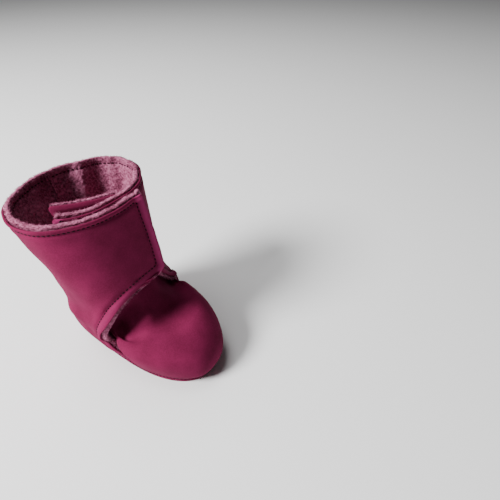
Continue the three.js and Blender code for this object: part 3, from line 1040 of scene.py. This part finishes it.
def swell(thing, start, most):
    """Inflates a pad as cloth for twenty frames, and lets no point move further than most."""
    cloth = thing.modifiers.new("Cloth", "CLOTH")
    cloth.settings.use_pressure = True
    cloth.settings.uniform_pressure_force = 1
    cloth.settings.effector_weights.gravity = 0
    cloth.settings.quality = 6
    cloth.point_cache.frame_start, cloth.point_cache.frame_end = 1, 20
    scene = bpy.context.scene
    for step in range(1, 21):
        scene.frame_set(step)
    final = bpy.data.meshes.new_from_object(thing.evaluated_get(bpy.context.evaluated_depsgraph_get()))
    moved = coordinates(final) - start
    bpy.data.meshes.remove(final)
    thing.modifiers.clear()
    scene.frame_set(1)
    far = np.linalg.norm(moved, axis=1, keepdims=True)
    moved *= np.minimum(1, most / np.maximum(far, 1e-9))
    thing.data.vertices.foreach_set("co", (start + moved).astype(np.float32).ravel())
    thing.data.update()


# Fastener patches, as angles and heights on the form.
HOOKS = (-9, 8, 0.8, 0.875)
LOOPS = (-30, 10, 0.795, 0.88)


def patch_points(panel, patch, depth, u, v):
    a = mix(patch[0], patch[1], u)
    s = mix(patch[2], patch[3], v)
    form = panel.form
    return form.lifted(a, s, panel.top(a, s) - depth), form.outward(a, s)


class BOOTIE_OT_fastener(bpy.types.Operator):
    """Hook tape under the outer flap and loop tape on the inner one"""

    bl_idname = "bootie.fastener"
    bl_label = "Touch fastener"

    def execute(self, context):
        form = Form()
        outer, inner = outer_panel(), inner_panel()
        bm, u, v = grid_points(34, 20)
        write_points(bm, patch_points(inner, LOOPS, -1.2, u, v)[0])
        thing = thicken(new_object("loop_tape_patch", bm), 0.9)
        roughen(thing, 0.22, 1.1)
        finish(thing, loop_nylon(), ["loop_tape"], "inner_flap")
        bm, u, v = grid_points(18, 14)
        write_points(bm, patch_points(outer, HOOKS, form.layer + 0.95, u, v)[0])
        bmesh.ops.reverse_faces(bm, faces=bm.faces[:])
        thing = thicken(new_object("hook_tape_patch", bm), 0.55)
        rows_u, rows_v = np.meshgrid(np.linspace(0.07, 0.93, 13), np.linspace(0.08, 0.92, 12))
        at, out = patch_points(outer, HOOKS, form.layer + 0.85, rows_u.ravel(), rows_v.ravel())
        hook = pattern_mesh("hook", build_hook)
        matrices = []
        for p, n in zip(at, out):
            turn = Vector(-n).to_track_quat("Z", "Y").to_matrix().to_4x4()
            matrices.append(Matrix.Translation(Vector(p * MM)) @ turn)
        bm = bmesh.new()
        bm.from_mesh(thing.data)
        copies(bm, hook, matrices)
        bm.to_mesh(thing.data)
        bm.free()
        bpy.data.meshes.remove(hook)
        finish(thing, hook_nylon(), ["hook_tape"], "outer_flap")
        return {"FINISHED"}


def build_hook(bm):
    """One moulded hook: a short stem bent over at its tip."""
    stem = bmesh.ops.create_cone(
        bm, cap_ends=True, segments=4, radius1=0.16 * MM, radius2=0.11 * MM, depth=0.4 * MM
    )
    bmesh.ops.translate(bm, verts=stem["verts"], vec=(0, 0, 0.2 * MM))
    tip = max(bm.faces, key=lambda f: f.calc_center_median().z)
    for shift in ((0.12, 0, 0.08), (0.16, 0, -0.06)):
        out = bmesh.ops.extrude_face_region(bm, geom=[tip])
        bmesh.ops.delete(bm, geom=[tip], context="FACES_ONLY")
        verts = [g for g in out["geom"] if isinstance(g, bmesh.types.BMVert)]
        bmesh.ops.translate(bm, verts=verts, vec=[x * MM for x in shift])
        tip = [g for g in out["geom"] if isinstance(g, bmesh.types.BMFace)][0]


# ---------------------------------------------------------------- stitching


def build_stitch(bm):
    bmesh.ops.create_uvsphere(bm, u_segments=8, v_segments=5, radius=0.5)


def stitch_row(bm, stitch, points, outs, form, cloth):
    """Stitches laid end to end along a line of points, each pulled a little into the cloth under it."""
    gaps = np.linalg.norm(np.diff(points, axis=0), axis=1)
    run = np.concatenate([[0], np.cumsum(gaps)])
    count = max(1, int(round(run[-1] / form.stitch_pitch)))
    at = (np.arange(count) + 0.5) * run[-1] / count
    where = np.stack([np.interp(at, run, points[:, k]) for k in range(3)], -1)
    n = unit(np.stack([np.interp(at, run, outs[:, k]) for k in range(3)], -1))
    ahead = np.stack([np.interp(at + 0.6, run, points[:, k]) for k in range(3)], -1)
    behind = np.stack([np.interp(at - 0.6, run, points[:, k]) for k in range(3)], -1)
    matrices = []
    for p, out, along in zip(where, n, unit(ahead - behind)):
        down = Vector(-out)
        found = cloth.ray_cast(Vector(p * MM) - down * 4 * MM, down, 8 * MM)[0]
        if found is not None:
            p = np.array(found) / MM + out * 0.12
        side = unit(np.cross(out, along))
        turn = Matrix([side, along, np.cross(side, along)]).transposed().to_4x4()
        wide, long = form.thread_width * MM, 0.8 * form.stitch_pitch * MM
        scale = Matrix.Diagonal((wide, long, 0.7 * wide, 1))
        matrices.append(Matrix.Translation(Vector(p * MM)) @ turn @ scale)
    copies(bm, stitch, matrices)


def panel_line(panel, path, folds, seed, lift):
    """Points and outward directions along a path on the worked face of a panel."""
    b, s = path.T
    base = panel.face(b, s)
    relief, hem = panel_relief(panel, b, s, base, folds, seed)
    out = panel.form.outward(panel.side * b, s)
    return base + out * (relief + (hem if lift > 0 else -0.5 * hem) + lift)[:, None], out


class BOOTIE_OT_stitching(bpy.types.Operator):
    """Topstitching round the panels and the tongue, and along the heel and sole seams"""

    bl_idname = "bootie.stitching"
    bl_label = "Stitching"

    def execute(self, context):
        stitch = pattern_mesh("stitch", build_stitch)
        for shape, stem, folds, seed, flap, side, _ in PANELS:
            panel = shape()
            form = panel.form
            path = panel.inset(panel.edge, form.stitch_inset)
            path = path[(path[:, 1] > 0.12) & (path[:, 0] < 178.5)]
            # Towards the rim the row runs closer to the edge than elsewhere.
            high = ease((path[:, 0] - panel.free_top - 4) / 7) * ease((path[:, 1] - 0.95) / 0.02)
            path[:, 1] += high * (form.stitch_inset - form.rim_inset) * 0.0045
            bm = bmesh.new()
            points, outs = panel_line(panel, path, folds, seed, 0.22)
            stitch_row(bm, stitch, points, outs, form, tree_of_object(f"{stem}_shell"))
            # The same row shows on the fleece inside the rim.
            upper = path[path[:, 1] > 0.95]
            base, outs = panel_line(panel, upper, folds, seed, -form.layer - 0.35)
            stitch_row(bm, stitch, base, -outs, form, tree_of_object(f"{stem}_lining"))
            thing = new_object(f"{stem}_stitching", bm)
            nodes = [f"{flap}_stitching", f"{side}_rim_stitching"]
            finish(thing, thread(), nodes, across=("boot", flap, *form.fold_span(BEND_REACH)))
        form = Form()
        tongue = Tongue(form)
        t = np.linspace(0, 1, 60)
        left = np.stack([0 * t + 0.12, mix(0.05, 0.86, t)], -1)
        top = np.stack([mix(0.16, 0.88, t), 0 * t + 0.905], -1)
        line = smoothed(np.concatenate([left, top]), 5)
        outs = tongue.outward(*line.T)
        bm = bmesh.new()
        middle = tongue.middle(*line.T)
        stitch_row(bm, stitch, middle, outs, form, tree_of_object("tongue_shell_cloth"))
        stitch_row(bm, stitch, middle - outs * form.layer, -outs, form, tree_of_object("tongue_lining_cloth"))
        thing = new_object("tongue_topstitching", bm)
        finish(thing, thread(), ["tongue_stitching"], "tongue")
        s = np.linspace(0.09, 0.94, 120)
        bm = bmesh.new()
        for a, stem in ((177.2, "inner_panel"), (-177.2, "outer_panel")):
            points, outs = form.lifted(0 * s + a, s, 0 * s + 0.05), form.outward(0 * s + a, s)
            stitch_row(bm, stitch, points, outs, form, tree_of_object(f"{stem}_shell"))
        thing = new_object("heel_seam_thread", bm)
        finish(thing, thread(), ["heel_seam_stitching"], "boot")
        a = np.linspace(-180, 180, 361)
        bm = bmesh.new()
        level = 0 * a + 0.062
        cover = bmesh.new()
        for name in ("outer_panel_shell", "inner_panel_shell", "vamp_shell_cloth"):
            cover.from_mesh(bpy.data.objects[name].data)
        points, outs = form.lifted(a, level, 0 * a + 0.1), form.outward(a, level)
        stitch_row(bm, stitch, points, outs, form, tree_of(cover))
        cover.free()
        thing = new_object("sole_seam_thread", bm)
        finish(thing, thread(), ["sole_seam_stitching"], "boot")
        bpy.data.meshes.remove(stitch)
        return {"FINISHED"}


# ---------------------------------------------------------------- stage


def aimed(thing, place, direction, up):
    back = -Vector(direction).normalized()
    right = Vector(up).cross(back).normalized()
    turn = Matrix([right, back.cross(right), back]).transposed().to_4x4()
    thing.matrix_world = Matrix.Translation(Vector(place)) @ turn
    bpy.context.scene.collection.objects.link(thing)


def soft_light(name, place, target, size, watts, tint):
    lamp = bpy.data.lights.new(name, "AREA")
    lamp.shape, lamp.size, lamp.energy, lamp.color = "DISK", size, watts, tint
    aimed(bpy.data.objects.new(name, lamp), place, Vector(target) - Vector(place), (0, 0, 1))


class BOOTIE_OT_stage(bpy.types.Operator):
    """Pale floor, soft light and camera"""

    bl_idname = "bootie.stage"
    bl_label = "Stage"

    def execute(self, context):
        lens = bpy.data.cameras.new("Camera")
        lens.sensor_width, lens.lens = 36, 27.07
        lens.clip_start = 0.01
        camera = bpy.data.objects.new("Camera", lens)
        aimed(camera, (-0.1015, -0.1534, 0.2140), (0.646, 0.401, -0.649), (0, 0, 1))
        context.scene.camera = camera
        bm = bmesh.new()
        bmesh.ops.create_grid(bm, x_segments=4, y_segments=4, size=3)
        floor = new_object("studio_floor", bm)
        material, tree = blank("white_paper_sweep")
        shader = add(tree, "ShaderNodeBsdfPrincipled", {"Base Color": (0.9, 0.9, 0.9, 1), "Roughness": 0.9})
        add(tree, "ShaderNodeOutputMaterial", {"Surface": shader.outputs[0]})
        floor.data.materials.append(material)
        floor.location.z = -0.0002
        middle = (0, 0, 0.05)
        soft_light("key_window", (-0.76, 0.45, 0.76), middle, 0.42, 33, (1, 1, 1))
        soft_light("top_soft", (0.0, 0.5, 1.3), middle, 0.9, 12, (1, 1, 1))
        world = bpy.data.worlds.new("studio")
        world.use_nodes = True
        world.node_tree.nodes["Background"].inputs[0].default_value = (1, 1, 1, 1)
        world.node_tree.nodes["Background"].inputs[1].default_value = 0.06
        context.scene.world = world
        return {"FINISHED"}


class BOOTIE_PT_panel(bpy.types.Panel):
    """Lists the sizes, the colours and the pieces of the bootie"""

    bl_idname = "BOOTIE_PT_panel"
    bl_label = "Baby bootie"
    bl_space_type = "VIEW_3D"
    bl_region_type = "UI"
    bl_category = "Bootie"

    def draw(self, context):
        for group in (context.scene.bootie_sizes, context.scene.bootie_colours):
            box = self.layout.box()
            for key in type(group).__annotations__:
                box.prop(group, key)
        for step in STEPS:
            self.layout.operator(step.bl_idname)


STEPS = (
    BOOTIE_OT_stage,
    BOOTIE_OT_panels,
    BOOTIE_OT_vamp,
    BOOTIE_OT_tongue,
    BOOTIE_OT_outsole,
    BOOTIE_OT_insole,
    BOOTIE_OT_fastener,
    BOOTIE_OT_stitching,
)
CLASSES = (BootieSizes, BootieColours, *STEPS, BOOTIE_PT_panel)


def register():
    for cls in CLASSES:
        bpy.utils.register_class(cls)
    bpy.types.Scene.bootie_sizes = PointerProperty(type=BootieSizes)
    bpy.types.Scene.bootie_colours = PointerProperty(type=BootieColours)


def unregister():
    del bpy.types.Scene.bootie_colours
    del bpy.types.Scene.bootie_sizes
    for cls in reversed(CLASSES):
        bpy.utils.unregister_class(cls)


def main():
    register()
    for step in STEPS:
        group, name = step.bl_idname.split(".")
        getattr(getattr(bpy.ops, group), name)()


if __name__ == "__main__":
    main()
